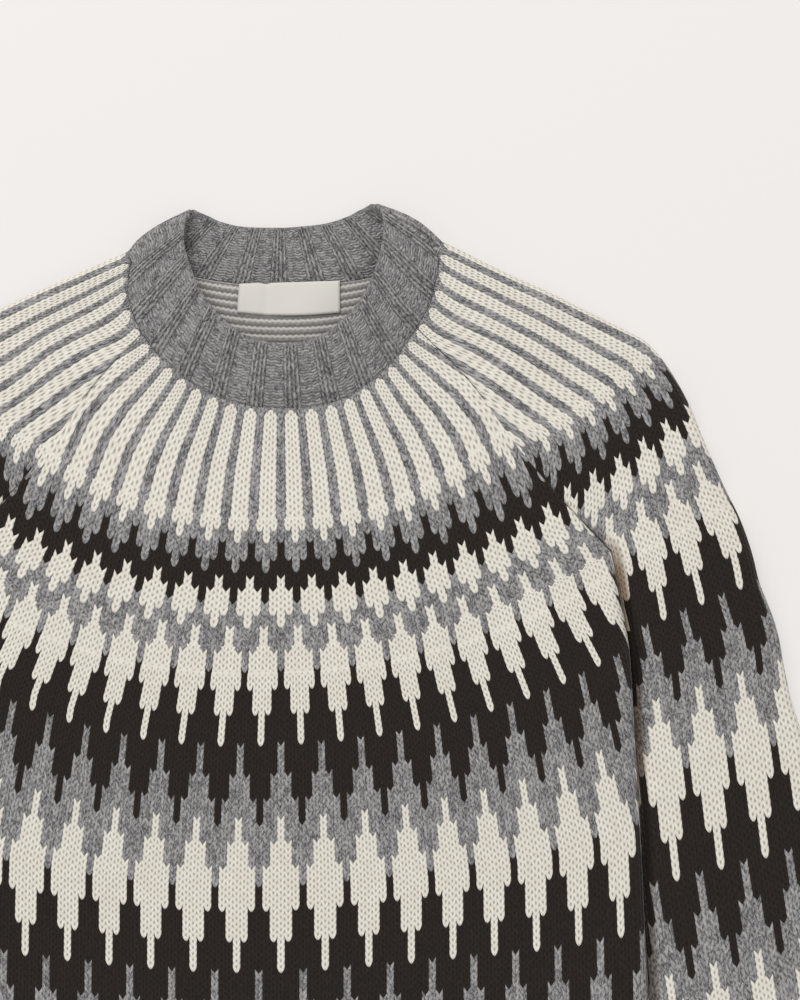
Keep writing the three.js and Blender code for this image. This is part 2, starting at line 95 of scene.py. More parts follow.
# From the neck seam to the underarm: raglan seams, place along the sleeve's top edge, centre lines,
# turn into the crease in degrees, bow of the sleeve's rows, power of the row curve, seam height.
YOKE = {
    "front_x": [97.6, 111.9, 133.6, 160.8, 189.5, 223.4],
    "front_y": [245.1, 229.5, 203.7, 166.3, 132.5, 97.0],
    "back_x": [90.1, 112.0, 139.0, 167.0, 195.0, 223.4],
    "back_y": [293.4, 272.0, 239.0, 200.0, 152.0, 97.0],
    "along": [0, 51, 101, 152, 208, 268],
    "front_mid": [194.8, 165.8, 139.1, 111.9, 80.0, 28.9],
    "back_mid": [278.5, 240.0, 197.0, 148.0, 92.0, 28.9],
    "roll": [0, 0, 0, 8, 40, 90],
    "bow": [7.5, 7.0, 6.0, 5.0, 3.0, 1.5],
    "curve": [2.4, 2.3, 2.2, 2.0, 2.0, 2.0],
    "top": [12.6, 13.0, 13.4, 13.8, 14.3, 14.5],
}

# From the underarm to the hem: centre line and how far the row's ends stand above it.
BODY = {
    "mid": [28.9, -3.7, -35.0, -68.0, -100.3, -140.0, -179.2, -228.0, -273.0],
    "rise": [68.1, 66.0, 65.3, 59.5, 52.7, 41.5, 29.3, 15.0, 2.0],
}

# The crease between the body and the sleeve beside it.
CREASE = {
    "y": [97.0, 62.3, 30.3, -8.5, -47.6, -98.5, -149.9, -213.0, -271.0],
    "x": [223.4, 230.2, 235.6, 238.2, 240.4, 243.3, 245.8, 248.8, 248.5],
}

# From the underarm to the cuff: inner edge, how far it has left the crease, place along the top edge.
SLEEVE = {
    "inner_y": [97.0, 30.3, -38.4, -112.5, -207.7, -279.8],
    "away": [0, 0, 0, 0, 0, 25.9],
    "along": [268, 349, 426, 502, 597, 674.6],
    "bow": [1.5, 0, 0, 0, 0, 0],
}

# Where the sleeve turns down into the crease, its wool lies in brown shade: how deep by place along
# the sleeve, and the strip's width.
CREASE_SHADE = {"along": [246, 284, 430, 600, 674.6], "deep": [0, 1.0, 0.9, 0.9, 0.6]}
SHADE_EDGE = 10.0
SHADE_SOFT = 3.0

# The sleeve's top edge, from the neck to the end of the cuff.
TOP_EDGE = {
    "x": [105.7, 139.1, 179.2, 224.7, 246.5, 261.0, 275.7, 288.7, 305.0, 323.0, 336.3, 351.2, 380.0, 409.0],
    "y": [305.0, 291.4, 273.7, 251.3, 240.4, 224.1, 198.9, 167.6, 129.5, 79.0, 44.0, -16.7, -165.0, -313.1],
}

# The neckband's free edge: front centre to shoulder, then shoulder to back centre.
FREE_FRONT = {
    "x": [0, 21.0, 38.5, 54.8, 64.0, 67.4, 66.4, 63.0],
    "y": [237.7, 242.0, 253.0, 272.3, 293.8, 311.5, 324.8, 330.8],
    "z": [14.5, 14.6, 15.0, 15.6, 16.2, 16.0, 13.4, 8.4],
}
FREE_BACK = {
    "x": [63.0, 57.5, 51.0, 43.0, 27.0, 0],
    "y": [330.8, 330.6, 327.8, 323.6, 319.2, 317.4],
    "z": [8.4, 3.4, 1.8, 1.6, 1.6, 1.6],
}

# The knit. A row is one course of stitches, counted from the front neck seam downwards.
ROW_MM = 4.182                  # height of one row on the body
PATTERN_SHIFT = 1.8             # how far the pattern's middle lies left of the middle of the body
FRONT_NECK_Y = 194.8            # centre line of the front where row 0 starts
BACK_NECK_Y = 278.5             # centre line of the back where row BACK_NECK_ROW starts
BACK_NECK_ROW = -20
# Width of one repeat of the pattern on the body, and on the sleeves, by row.
BODY_REPEAT = {"row": [-20, 0, 11, 18, 23, 31, 38, 47.5, 55, 79, 112],
               "mm": [11.2, 13.5, 17.4, 18.9, 20.1, 21.6, 23.7, 25.8, 27.6, 30.3, 30.3]}
# Towards the body's sides a repeat lies narrower, by this share.
BODY_SIDES = {"row": [-20, 0, 15, 28, 36, 43, 112],
              "narrower": [0.15, 0.15, -0.01, 0, 0.02, 0.04, 0.04]}
SIDE_REACH = 160                # distance from the middle where that is full
# The cloth doesn't lie quite evenly: where it is pulled aside, in mm, and how far. The first list
# is the left of the picture, the second its right, each along the shoulder and down the neck seam.
PULLS_LEFT = {
    "x": [-194, -190, -188, -175, -161, -148, -134, -121, -107, -94, -80, -67, -53, -109, -106],
    "y": [225, 250, 269, 275, 282, 287, 293, 299, 305, 319, 328, 333, 329, 275, 262],
    "dx": [0, 0, 0, 0, 0, 0, 0, 0, -1.5, -1.0, 0, 0, 0, 2.6, 2.6],
    "dy": [-5.6, -4.8, -4.8, -4.6, -4.6, -4.6, -4.4, -4.2, -3.4, -4.8, -5.2, -3.6, -1.4, -1.6, 0],
}
PULLS_RIGHT = {
    "x": [14, 28, 41, 55, 68, 82, 95, 108, 122, 140, 180, 216, 106, 103, 98, 91, 82, 69, 312, 343],
    "y": [318, 320, 323, 330, 330, 324, 315, 304, 298, 291, 273, 255, 269, 260, 248, 239, 229, 217, 107, 6],
    "dx": [0, 0, 0, 0, 0.5, 1.0, 2.5, 3.6, 1.5, 0, 0, 0, -6.4, -8.8, -9.4, -6.2, -3.6, -1.6, 3.4, -3.2],
    "dy": [1.0, 2.0, 2.6, 2.6, 2.2, 2.4, 3.8, 4.2, 3.0, 1.6, 1.4, 1.2, -1.6, 2.0, 5.0, 5.0, 4.0, 2.6, 0, 0],
}
PULL_REACH = 17
PULL_REST = 0.25                # how firmly the cloth stays where no pull reaches it
# The rows of the front hang unevenly: how many rows lower the pattern lies, by place across the
# front and by row.
HANG_PLACES = [-190, -125, -60, 0, 60, 120, 190]
HANG = {
    8: [0, 0, 0, 0, 0, 0, 0],
    18: [2.6, 2.4, 1.5, 0.4, 0.6, 0.0, -0.5],
    28: [1.6, 1.4, 0.8, 0.0, -0.1, -0.4, -0.6],
    52: [3.3, 2.7, 1.3, 0.1, 0.0, 0.6, 1.0],
    80: [2.3, 1.3, 0.8, 0.1, -0.5, -0.4, 0.6],
    95: [0.4, 0.3, 0.3, 0.2, -0.4, -0.6, 0.0],
}
SLEEVE_REPEAT = {"row": [-21, -9, 6, 20, 30, 39, 54, 67, 91, 123],
                 "mm": [8.7, 10.7, 13.1, 16.7, 20.9, 24.5, 27.9, 30.3, 31.3, 31.3]}
SLEEVE_ROWS = {"along": [0, 172.7, 334.6, 420, 518, 674.6], "row": [-21, 20, 54, 72, 91, 122.5]}
# How many rows lower the pattern lies on the left sleeve than on the right one.
LEFT_SLEEVE_HANG = {"row": [4, 18, 34, 60], "rows": [0, 2.0, 1.0, 0.4]}
# How many rows higher the pattern lies at the sleeve's inner edge than square to its top edge.
SLEEVE_INNER = {"along": [150, 208, 268, 349, 440, 500, 560, 674],
                "rows": [0, 1.3, 1.2, 0.6, 0.8, 0.6, -0.5, -0.6]}
# How far the middle of the pattern lies inside the sleeve's top fold.
SLEEVE_SHIFT = {"row": [-21, 15, 32, 52, 67, 91, 122], "mm": [8.1, 8.1, 3.0, 1.8, 5.0, 11.6, 17.0]}


def column(values, place):
    """A column of a table on a smooth curve through its rows, for place 0 to 1."""
    values = np.asarray(values, float)
    last = len(values) - 1
    at = np.clip(place, 0, 1) * last
    k = np.minimum(np.floor(at).astype(int), last - 1)
    t = at - k
    padded = np.concatenate([[2 * values[0] - values[1]], values, [2 * values[-1] - values[-2]]])
    p0, p1, p2, p3 = (padded[k + i] for i in range(4))
    return p1 + 0.5 * t * (p2 - p0 + t * (2 * p0 - 5 * p1 + 4 * p2 - p3 + t * (3 * (p1 - p2) + p3 - p0)))


def mix(a, b, t):
    return a + (b - a) * t


def smooth(t):
    t = np.clip(t, 0, 1)
    return t * t * (3 - 2 * t)


def unit(v):
    return v / np.maximum(np.linalg.norm(v, axis=-1, keepdims=True), 1e-9)


def trace(table):
    """A fine polyline through a table's rows and the length run at each of its points."""
    place = np.linspace(0, 1, (len(table["x"]) - 1) * 24 + 1)
    z = column(table["z"], place) if "z" in table else np.zeros_like(place)
    points = np.stack([column(table["x"], place), column(table["y"], place), z], axis=-1)
    return points, run_of(points)


def run_of(points):
    return np.concatenate([[0], np.cumsum(np.linalg.norm(np.diff(points, axis=0), axis=1))])


def walk(line, length):
    points, run = line
    return np.stack([np.interp(length, run, points[:, i]) for i in range(3)], axis=-1)


def crease_x(y):
    place = np.interp(-np.asarray(y), -np.array(CREASE["y"]), np.linspace(0, 1, len(CREASE["y"])))
    return column(CREASE["x"], place)


def across_edge(x, y):
    """Unit vectors in plan across an edge, on the side away from the centre line."""
    run = unit(np.stack([np.gradient(x), np.gradient(y)], axis=-1))
    return -run[:, 1], run[:, 0]


FOLD_HEIGHT = WALL / 2 + FOLD
top_line = trace(TOP_EDGE)


def roll_height(top, turn, is_front):
    """Height of the wall's middle line where the cloth rolls from flat towards a side seam."""
    drop = 1 - np.cos(turn)
    if is_front:
        return top - (top - FOLD_HEIGHT - CREASE_HALF) * drop
    return WALL / 2 + (FOLD - CREASE_HALF) * drop


def body_row(mid):
    return (FRONT_NECK_Y - mid) / ROW_MM


def back_row(mid):
    underarm = BODY["mid"][0]
    yoke = mix(BACK_NECK_ROW, body_row(underarm), (BACK_NECK_Y - mid) / (BACK_NECK_Y - underarm))
    return np.where(mid > underarm, yoke, body_row(mid))


def hang(run, rows):
    """How many rows lower the front's pattern lies at each of its points."""
    levels = sorted(HANG)
    columns = np.stack([np.interp(run, HANG_PLACES, HANG[level]) for level in levels])
    at = np.interp(rows, levels, np.arange(len(levels)))
    k = np.minimum(at.astype(int), len(levels) - 2)
    low = np.take_along_axis(columns, k[None], axis=0)[0]
    high = np.take_along_axis(columns, k[None] + 1, axis=0)[0]
    return mix(low, high, at - k)


def pulled(points):
    """How far the pulls in the cloth move each point, across and along the garment."""
    total = np.full(points.shape[:-1], PULL_REST)
    move = np.zeros(points.shape[:-1] + (2,))
    for pulls in (PULLS_LEFT, PULLS_RIGHT):
        for x, y, dx, dy in zip(pulls["x"], pulls["y"], pulls["dx"], pulls["dy"]):
            away = ((points[..., 0] - x) ** 2 + (points[..., 1] - y) ** 2) / PULL_REACH ** 2
            weight = np.exp(-away)
            total += weight
            move += weight[..., None] * np.array([dx, dy])
    return move / total[..., None]


def surface_normals(grid, closed):
    """Outward normals of a grid of points, from its neighbours down and across."""
    if closed:
        side = np.roll(grid, -1, axis=1) - np.roll(grid, 1, axis=1)
    else:
        side = np.gradient(grid, axis=1)
    return unit(np.cross(unit(np.gradient(grid, axis=0)), unit(side)))


def carried_on(name, below):
    """A column of the yoke's table at each row, then what follows it below the underarm."""
    return np.concatenate([column(YOKE[name], np.linspace(0, 1, YOKE_STEPS + 1)), below])


def turn_and_top(steps):
    """The turn of each row's end into the crease, and the height of its seam."""
    turn = np.radians(carried_on("roll", np.full(steps, 90.0)))
    return np.clip(turn, 1e-4, math.pi / 2), carried_on("top", np.full(steps, YOKE["top"][-1]))


def panel(side):
    """Middle points of a body panel from neck to hem, with its row and repeat at each point."""
    is_front = side == "front"
    b = np.linspace(0, 1, BODY_STEPS + 1)[1:]
    body_mid = column(BODY["mid"], b)
    body_y = body_mid + column(BODY["rise"], b)
    x = carried_on(side + "_x", crease_x(body_y))
    y = carried_on(side + "_y", body_y)
    mid = carried_on(side + "_mid", body_mid)
    curve = carried_on("curve", np.full(BODY_STEPS, YOKE["curve"][-1]))
    roll, top = turn_and_top(BODY_STEPS)
    ex, ey = across_edge(x, y)
    inset = SEAM_GAP / 2 + (WALL / 2 + FOLD) * np.sin(roll)
    ax, ay = x - ex * inset, y - ey * inset
    t = np.linspace(0, 1, PANEL_CELLS + 1)[None, :]
    flat = np.stack([
        ax[:, None] * t,
        mid[:, None] + (ay - mid)[:, None] * t ** curve[:, None],
        mix(LOW, top[:, None], t ** 3) if is_front else np.full((len(x), PANEL_CELLS + 1), WALL / 2),
    ], axis=-1)
    phi = roll[:, None] * (np.arange(1, ROLL_CELLS + 1) / ROLL_CELLS)[None, :]
    rolled = np.stack([
        ax[:, None] + ex[:, None] * FOLD * np.sin(phi),
        ay[:, None] + ey[:, None] * FOLD * np.sin(phi),
        roll_height(top[:, None], phi, is_front),
    ], axis=-1)
    half = np.concatenate([flat, rolled], axis=1)
    if is_front:
        half[:YOKE_STEPS, -1, 2] -= EDGE_DIP * np.cos(roll[:YOKE_STEPS])
    left = half[:, :0:-1] * [-1, 1, 1]
    grid = np.concatenate([left, half], axis=1)
    step = np.linalg.norm(np.diff(half, axis=1), axis=2)
    run = np.concatenate([np.zeros((len(x), 1)), np.cumsum(step, axis=1)], axis=1)
    run = np.concatenate([-run[:, :0:-1], run], axis=1)
    row = body_row(mid) if is_front else back_row(mid)
    shift = PATTERN_SHIFT if is_front else 0
    narrower = np.interp(row, BODY_SIDES["row"], BODY_SIDES["narrower"])[:, None]
    repeat = (run + shift) / np.interp(row, BODY_REPEAT["row"], BODY_REPEAT["mm"])[:, None]
    repeat = repeat * (1 + narrower * smooth(np.abs(run) / SIDE_REACH))
    right = np.stack([ex * np.sin(roll), ey * np.sin(roll), np.cos(roll) * (1 if is_front else -1)], axis=-1)
    ends = (right * [-1, 1, 1], right)
    rows = np.repeat(row[:, None], grid.shape[1], axis=1)
    if is_front:
        rows = rows - hang(run, rows)
    else:
        grid, repeat, ends = grid[:, ::-1], repeat[:, ::-1], ends[::-1]
    return {"grid": grid, "ends": ends, "u": repeat, "v": rows, "start": rows - rows[:1],
            "shade": np.zeros_like(rows)}


def sleeve():
    """Middle points of the right sleeve: front seam, top layer, fold, under layer, back seam."""
    d = np.linspace(0, 1, SLEEVE_STEPS + 1)[1:]
    inner_y = column(SLEEVE["inner_y"], d)
    inner_x = crease_x(inner_y) + np.maximum(column(SLEEVE["away"], d), 0)
    front, back = (np.stack([carried_on(side + "_x", inner_x), carried_on(side + "_y", inner_y)], axis=-1)
                   for side in ("front", "back"))
    along = carried_on("along", column(SLEEVE["along"], d))
    bow = carried_on("bow", column(SLEEVE["bow"], d))
    roll, top = turn_and_top(SLEEVE_STEPS)
    front_across = np.stack(across_edge(*front.T), axis=-1)
    back_across = np.stack(across_edge(*back.T), axis=-1)
    inset = (SEAM_GAP / 2 + (WALL / 2 + FOLD) * np.sin(roll))[:, None]
    tip = walk(top_line, along)[:, :2]
    run = unit(walk(top_line, along + 6) - walk(top_line, along - 6))[:, :2]
    out = np.stack([-run[:, 1], run[:, 0]], axis=-1)
    centre = tip - out * (FOLD + WALL / 2)
    start, end = front + front_across * inset, back + back_across * inset

    def layer(plan, height):
        return np.concatenate([plan, np.broadcast_to(height[..., None], plan.shape[:2] + (1,))], axis=-1)

    phi = roll[:, None] * (np.arange(ROLL_CELLS, 0, -1) / ROLL_CELLS)[None, :]
    front_roll = layer(start[:, None] - front_across[:, None] * FOLD * np.sin(phi)[..., None],
                       roll_height(top[:, None], phi, True))
    t = np.arange(SLEEVE_CELLS)[None, :] / SLEEVE_CELLS
    chord = centre - start
    bow_way = unit(np.stack([chord[:, 1], -chord[:, 0]], axis=-1))
    upper = (start[:, None] + chord[:, None] * t[..., None]
             + bow_way[:, None] * (bow[:, None] * np.sin(math.pi * t))[..., None])
    upper = layer(upper, mix(top[:, None], YOKE["top"][-1], t))
    psi = math.pi * np.arange(FOLD_CELLS + 1)[None, :] / FOLD_CELLS * np.ones((len(along), 1))
    fold = layer(centre[:, None] + out[:, None] * FOLD * np.sin(psi)[..., None],
                 FOLD_HEIGHT + FOLD * np.cos(psi))
    t = np.arange(1, SLEEVE_CELLS + 1)[None, :] / SLEEVE_CELLS * np.ones((len(along), 1))
    lower = layer(centre[:, None] + (end - centre)[:, None] * t[..., None], np.full_like(t, WALL / 2))
    phi = phi[:, ::-1]
    back_roll = layer(end[:, None] - back_across[:, None] * FOLD * np.sin(phi)[..., None],
                      roll_height(top[:, None], phi, False))
    grid = np.concatenate([front_roll, upper, fold, lower, back_roll], axis=1)
    grid[:YOKE_STEPS, 0, 2] -= EDGE_DIP * np.cos(roll[:YOKE_STEPS])

    middle = ROLL_CELLS + SLEEVE_CELLS + FOLD_CELLS // 2
    step = np.linalg.norm(np.diff(grid, axis=1), axis=2)
    length = np.concatenate([np.zeros((len(along), 1)), np.cumsum(step, axis=1)], axis=1)
    shade = smooth((SHADE_EDGE - length) / SHADE_SOFT)
    shade = shade * np.interp(along, CREASE_SHADE["along"], CREASE_SHADE["deep"])[:, None]
    length = length - length[:, middle:middle + 1]
    top_row = np.interp(along, SLEEVE_ROWS["along"], SLEEVE_ROWS["row"])
    front_row = np.concatenate([body_row(carried_on("front_mid", [])), top_row[YOKE_STEPS + 1:]])
    front_row = front_row + np.interp(along, SLEEVE_INNER["along"], SLEEVE_INNER["rows"])
    seam_row = np.concatenate([back_row(carried_on("back_mid", [])), top_row[YOKE_STEPS + 1:]])
    toward_front = np.clip(-length / -length[:, :1], 0, 1)
    toward_back = np.clip(length / length[:, -1:], 0, 1)
    rows = (top_row[:, None] + (front_row - top_row)[:, None] * toward_front
            + (seam_row - top_row)[:, None] * toward_back)
    shift = np.interp(top_row, SLEEVE_SHIFT["row"], SLEEVE_SHIFT["mm"])[:, None]
    repeat = (length + shift) / np.interp(rows, SLEEVE_REPEAT["row"], SLEEVE_REPEAT["mm"])

    def edge_normal(across, up):
        return np.concatenate([-across * np.sin(roll)[:, None], (up * np.cos(roll))[:, None]], axis=-1)

    ends = (edge_normal(front_across, 1), edge_normal(back_across, -1))
    return {"grid": grid, "ends": ends, "u": repeat, "v": rows, "start": rows - rows[:1],
            "shade": shade}


def mirrored(piece):
    """The same piece for the other side of the garment."""
    flip = [-1, 1, 1]
    other = {key: piece[key][:, ::-1] for key in piece if key not in ("ends", "round")}
    other.update(grid=other["grid"] * flip, u=-other["u"])
    if "ends" in piece:
        other["ends"] = (piece["ends"][1] * flip, piece["ends"][0] * flip)
    if "round" in piece:
        other["round"] = piece["round"]
    return other


# Soft troughs and ridges pressed into the cloth, uneven like the real ones. A line from one
# place to another, its half width, and how far it goes down, or up where the depth is negative.
FOLDS = {
    "front": [
        {"at": (205, 96), "to": (120, 20), "width": 26, "depth": 1.1},
        {"at": (-205, 92), "to": (-130, -6), "width": 30, "depth": 1.3},
        {"at": (60, -60), "to": (190, -170), "width": 34, "depth": 1.0},
        {"at": (-40, -110), "to": (-180, -180), "width": 38, "depth": 0.9},
        {"at": (-150, 150), "to": (-60, 90), "width": 28, "depth": -0.8},
        {"at": (150, 20), "to": (215, -60), "width": 20, "depth": -1.2},
        {"at": (220, 82), "to": (233, -60), "width": 8, "depth": -1.5},
        {"at": (-220, 78), "to": (-232, -40), "width": 8, "depth": -1.3},
    ],
    "sleeve": [
        {"at": (214, 146), "to": (227, 96), "width": 8, "depth": 4.2},
        {"at": (231, 84), "to": (247, -52), "width": 8, "depth": 7.2},
        {"at": (249, -80), "to": (256, -190), "width": 8, "depth": 4.6},
        {"at": (252, 60), "to": (300, 20), "width": 20, "depth": 1.0},
        {"at": (262, 130), "to": (330, 60), "width": 24, "depth": -0.9},
        {"at": (270, -60), "to": (345, -120), "width": 26, "depth": 1.2},
        {"at": (285, -190), "to": (370, -200), "width": 24, "depth": 1.0},
    ],
    "back": [
        {"at": (-170, 80), "to": (-40, 20), "width": 30, "depth": -0.6},
        {"at": (150, 60), "to": (60, -50), "width": 30, "depth": -0.6},
        {"at": (120, -120), "to": (-60, -190), "width": 36, "depth": -0.7},
    ],
}
FOLD_WAVER, FOLD_BENDS = 0.12, 7    # how far a fold wavers, as a share of its width, and how often
FOLD_ENDS = 0.55                    # its depth at the ends, as a share of that in its middle


def pressed(grid, normals, folds, flip=1):
    """How far each point of a piece moves along Z for the troughs and ridges of one list."""
    move = np.zeros(grid.shape[:2])
    for fold in folds:
        a = np.array(fold["at"], float) * [flip, 1]
        b = np.array(fold["to"], float) * [flip, 1]
        way = b - a
        t = np.clip(((grid[..., :2] - a) @ way) / (way @ way), 0, 1)
        waver = FOLD_WAVER * fold["width"] * np.sin(FOLD_BENDS * t + a[0])
        near = a + way * t[..., None] + unit(np.array([-way[1], way[0]])) * waver[..., None]
        away = np.linalg.norm(grid[..., :2] - near, axis=-1) / fold["width"]
        move -= fold["depth"] * np.exp(-away ** 2) * mix(FOLD_ENDS, 1, np.sin(math.pi * t))
    return move * np.clip(np.abs(normals[..., 2]), 0, 1) ** 0.5


def cloth(name, piece, wall, folds=(), flip=1, top_only=True):
    """A closed thin shell on a grid of middle points, with its knit coordinates as the UV map."""
    grid, u, v = piece["grid"], piece["u"], piece["v"]
    closed = "round" in piece
    normals = surface_normals(grid, closed)
    if "ends" in piece:
        normals[:, 0], normals[:, -1] = unit(piece["ends"][0]), unit(piece["ends"][1])
    if folds:
        move = pressed(grid, normals, folds, flip)
        if top_only:
            move = np.where(normals[..., 2] > 0, move, 0)
        grid = grid.copy()
        grid[..., 2] += move
    rows, count = grid.shape[:2]
    high = piece.get("raised", np.zeros((rows, count)))
    outer = grid + normals * (wall / 2 + high)[..., None]
    inner = grid - normals * (wall / 2)
    points = np.concatenate([outer.reshape(-1, 3), inner.reshape(-1, 3)])
    points[:, 1] += TABLE_Y
    cells = count if closed else count - 1
    quads, spots = [], []

    def strip(*corners):
        """Adds faces by their corners: rows, columns, and 1 where a corner is on the inner side."""
        quads.append(np.stack([row * count + col % count + inside * rows * count
                               for row, col, inside in corners], axis=1))
        spots.append(np.stack([np.stack([row, col], axis=1) for row, col, inside in corners], axis=1))

    j, i = np.meshgrid(np.arange(rows - 1), np.arange(cells), indexing="ij")
    a, b = j.ravel(), i.ravel()
    strip((a, b, 0), (a + 1, b, 0), (a + 1, b + 1, 0), (a, b + 1, 0))
    strip((a, b, 1), (a, b + 1, 1), (a + 1, b + 1, 1), (a + 1, b, 1))
    c = np.arange(cells)
    first, last = np.zeros_like(c), np.full_like(c, rows - 1)
    strip((first, c, 0), (first, c + 1, 0), (first, c + 1, 1), (first, c, 1))
    strip((last, c + 1, 0), (last, c, 0), (last, c, 1), (last, c + 1, 1))
    if not closed:
        r = np.arange(rows - 1)
        low, end = np.zeros_like(r), np.full_like(r, cells)
        strip((r + 1, low, 0), (r, low, 0), (r, low, 1), (r + 1, low, 1))
        strip((r, end, 0), (r + 1, end, 0), (r + 1, end, 1), (r, end, 1))
    quads, spots = np.concatenate(quads), np.concatenate(spots)
    slot = np.zeros(len(quads), int)
    slot[len(a):2 * len(a)] = 1
    if closed:
        u = np.concatenate([u, u[:, :1] + piece["round"]], axis=1)
        v = np.concatenate([v, v[:, :1]], axis=1)

    mesh = bpy.data.meshes.new(name)
    mesh.vertices.add(len(points))
    mesh.vertices.foreach_set("co", (points * MM).ravel())
    mesh.loops.add(len(quads) * 4)
    mesh.loops.foreach_set("vertex_index", quads.ravel())
    mesh.polygons.add(len(quads))
    mesh.polygons.foreach_set("loop_start", np.arange(len(quads)) * 4)
    mesh.polygons.foreach_set("material_index", slot)
    mesh.polygons.foreach_set("use_smooth", np.ones(len(quads), bool))

    def uv_map(title, across, down):
        uv = np.stack([values[spots[..., 0], spots[..., 1]] for values in (across, down)], axis=-1)
        mesh.uv_layers.new(name=title).data.foreach_set("uv", uv.ravel())

    uv_map("knit", u, v)
    if not closed:
        uv_map("from_neck_seam", piece["start"], piece["shade"])
    mesh.update(calc_edges=True)
    mesh.validate()
    piece_object = bpy.data.objects.new(name, mesh)
    bpy.context.collection.objects.link(piece_object)
    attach(piece_object, "root")
    return piece_object


def seam_ring(parts, count):
    """Evenly spaced points and normals round a closed seam, from the rows that meet it."""
    points, normals = [], []
    for piece, row in parts:
        n = surface_normals(piece["grid"], False)[row]
        n[0], n[-1] = unit(piece["ends"][0][row]), unit(piece["ends"][1][row])
        points.append(piece["grid"][row])
        normals.append(n)
    points.append(points[0][:1])
    normals.append(normals[0][:1])
    points, normals = np.concatenate(points), np.concatenate(normals)
    run = run_of(points)
    at = np.arange(count) / count * run[-1]
    ring = np.stack([np.interp(at, run, points[:, i]) for i in range(3)], axis=-1)
    normal = unit(np.stack([np.interp(at, run, normals[:, i]) for i in range(3)], axis=-1))
    return ring, normal


def rib_profile(count, cells):
    """Height of a two by two rib round a band, from 0 to 1: two raised columns, then a valley."""
    t = (np.arange(count) % cells) / cells
    inside = np.clip(t / RIB_KNIT, 0, 1)
    rise = np.sin(math.pi * inside) ** RIB_SQUARE
    dent = RIB_DENT * (1 - np.abs(np.sin(2 * math.pi * inside)))
    return np.where(t < RIB_KNIT, rise * (1 - dent), 0.0)


def lifted(points, normals, fade):
    """Keeps a band on the table by lifting the layer that rests on it."""
    points = points.copy()
    points[..., 2] += (RIB_RAISE * fade + (RIB_WALL - WALL) / 2) * np.maximum(0, -normals[..., 2])
    return points


front, back, right = panel("front"), panel("back"), sleeve()
left = mirrored(right)
left["v"] = left["v"] - np.interp(left["v"], LEFT_SLEEVE_HANG["row"], LEFT_SLEEVE_HANG["rows"])
for piece in (front, back, right, left):
    piece["grid"][..., :2] += pulled(piece["grid"])


def neckband():
    """The neckband from its free edge to the neck seam, all round from the front's middle."""
    count = NECK_RIBS * CELLS_PER_RIB
    ring, normal = seam_ring([(front, 0), (right, 0), (back, 0), (left, 0)], count * RING_FINE)
    up = np.where(normal[:, 2] > 0, np.abs(ring[:, 0]), 1e9)
    order = (np.argmin(up) + np.arange(len(ring))) % len(ring)
    ring, normal = ring[order], normal[order]
    under = np.flatnonzero(normal[:, 2] <= 0)
    turn, back_turn = under[0], under[-1] + 1
    centre = (turn + back_turn) / 2
    front_line, back_line = trace(FREE_FRONT), trace(FREE_BACK)
    at, total = np.arange(0, len(ring), RING_FINE), len(ring)
    on_left = at > centre
    front_way = np.where(on_left, (total - at) / (total - back_turn), at / turn)
    back_way = np.where(on_left, (back_turn - at) / (back_turn - centre), (at - turn) / (centre - turn))
    free = np.where((front_way <= 1)[:, None], walk(front_line, front_way * front_line[1][-1]),
                    walk(back_line, back_way * back_line[1][-1]))
    free[on_left] *= [-1, 1, 1]
    spot, spot_normal = ring[::RING_FINE], normal[::RING_FINE]
    run = unit(np.roll(ring, -2, axis=0) - np.roll(ring, 2, axis=0))[::RING_FINE]
    away = unit(np.cross(run, spot_normal))
    away *= np.where(np.sum(away * (free - spot), axis=1) < 0, -1, 1)[:, None]
    gap = BAND_GAP + FOLD_EXTRA * smooth((np.abs(spot[:, 0]) - SHOULDER_X) / SHOULDER_REACH)
    start = spot + away * gap[:, None]
    upward = np.maximum(0, spot_normal[:, 2])
    rows = []
    for j in range(BAND_STEPS + 1):
        share = 1 - j / BAND_STEPS
        bulge = math.sin(math.pi * share) * (BAND_BULGE * upward + FOLD_BULGE * (1 - spot_normal[:, 2] ** 2))
        p = mix(start, free, share) + spot_normal * bulge[:, None]
        p[:, :2] += pulled(p) * share
        rows.append(lifted(p, spot_normal, smooth(share * 4)))
    grid = np.array(rows)
    share = 1 - np.arange(BAND_STEPS + 1) / BAND_STEPS
    u = np.repeat((np.arange(count) / CELLS_PER_RIB)[None], BAND_STEPS + 1, axis=0)
    width = np.linalg.norm(free - start, axis=1)
    v = (1 - share)[:, None] * (width.mean() / ROW_MM) * np.ones((1, count))
    raised = rib_profile(count, CELLS_PER_RIB)[None] * RIB_RAISE * smooth(share * 5)[:, None]
    return {"grid": grid, "u": u, "v": v, "round": NECK_RIBS, "raised": raised}


def band(parts, ribs, ends):
    """A ribbed tube from a ring of seams down to its free edge."""
    count = ribs * CELLS_PER_RIB // 2
    ring, normal = seam_ring(parts, count)
    s = np.linspace(0, 1, HEM_STEPS + 1)
    grid = np.array([lifted(ends(ring, share), normal, smooth(share * 6)) for share in s])
    u = np.repeat((np.arange(count) / (CELLS_PER_RIB // 2))[None], HEM_STEPS + 1, axis=0)
    length = np.linalg.norm(grid[-1] - grid[0], axis=1).mean()
    v = s[:, None] * (length / ROW_MM) * np.ones((1, count))
    raised = rib_profile(count, CELLS_PER_RIB // 2)[None] * RIB_RAISE * smooth(s * 6)[:, None]
    return {"grid": grid, "u": u, "v": v, "round": ribs, "raised": raised}


def hem_ends(ring, share):
    pull = mix(1, HEM_PULL, smooth(share))
    return np.stack([ring[:, 0] * pull, mix(ring[:, 1] - BAND_GAP, HEM_Y, share), ring[:, 2]], axis=-1)


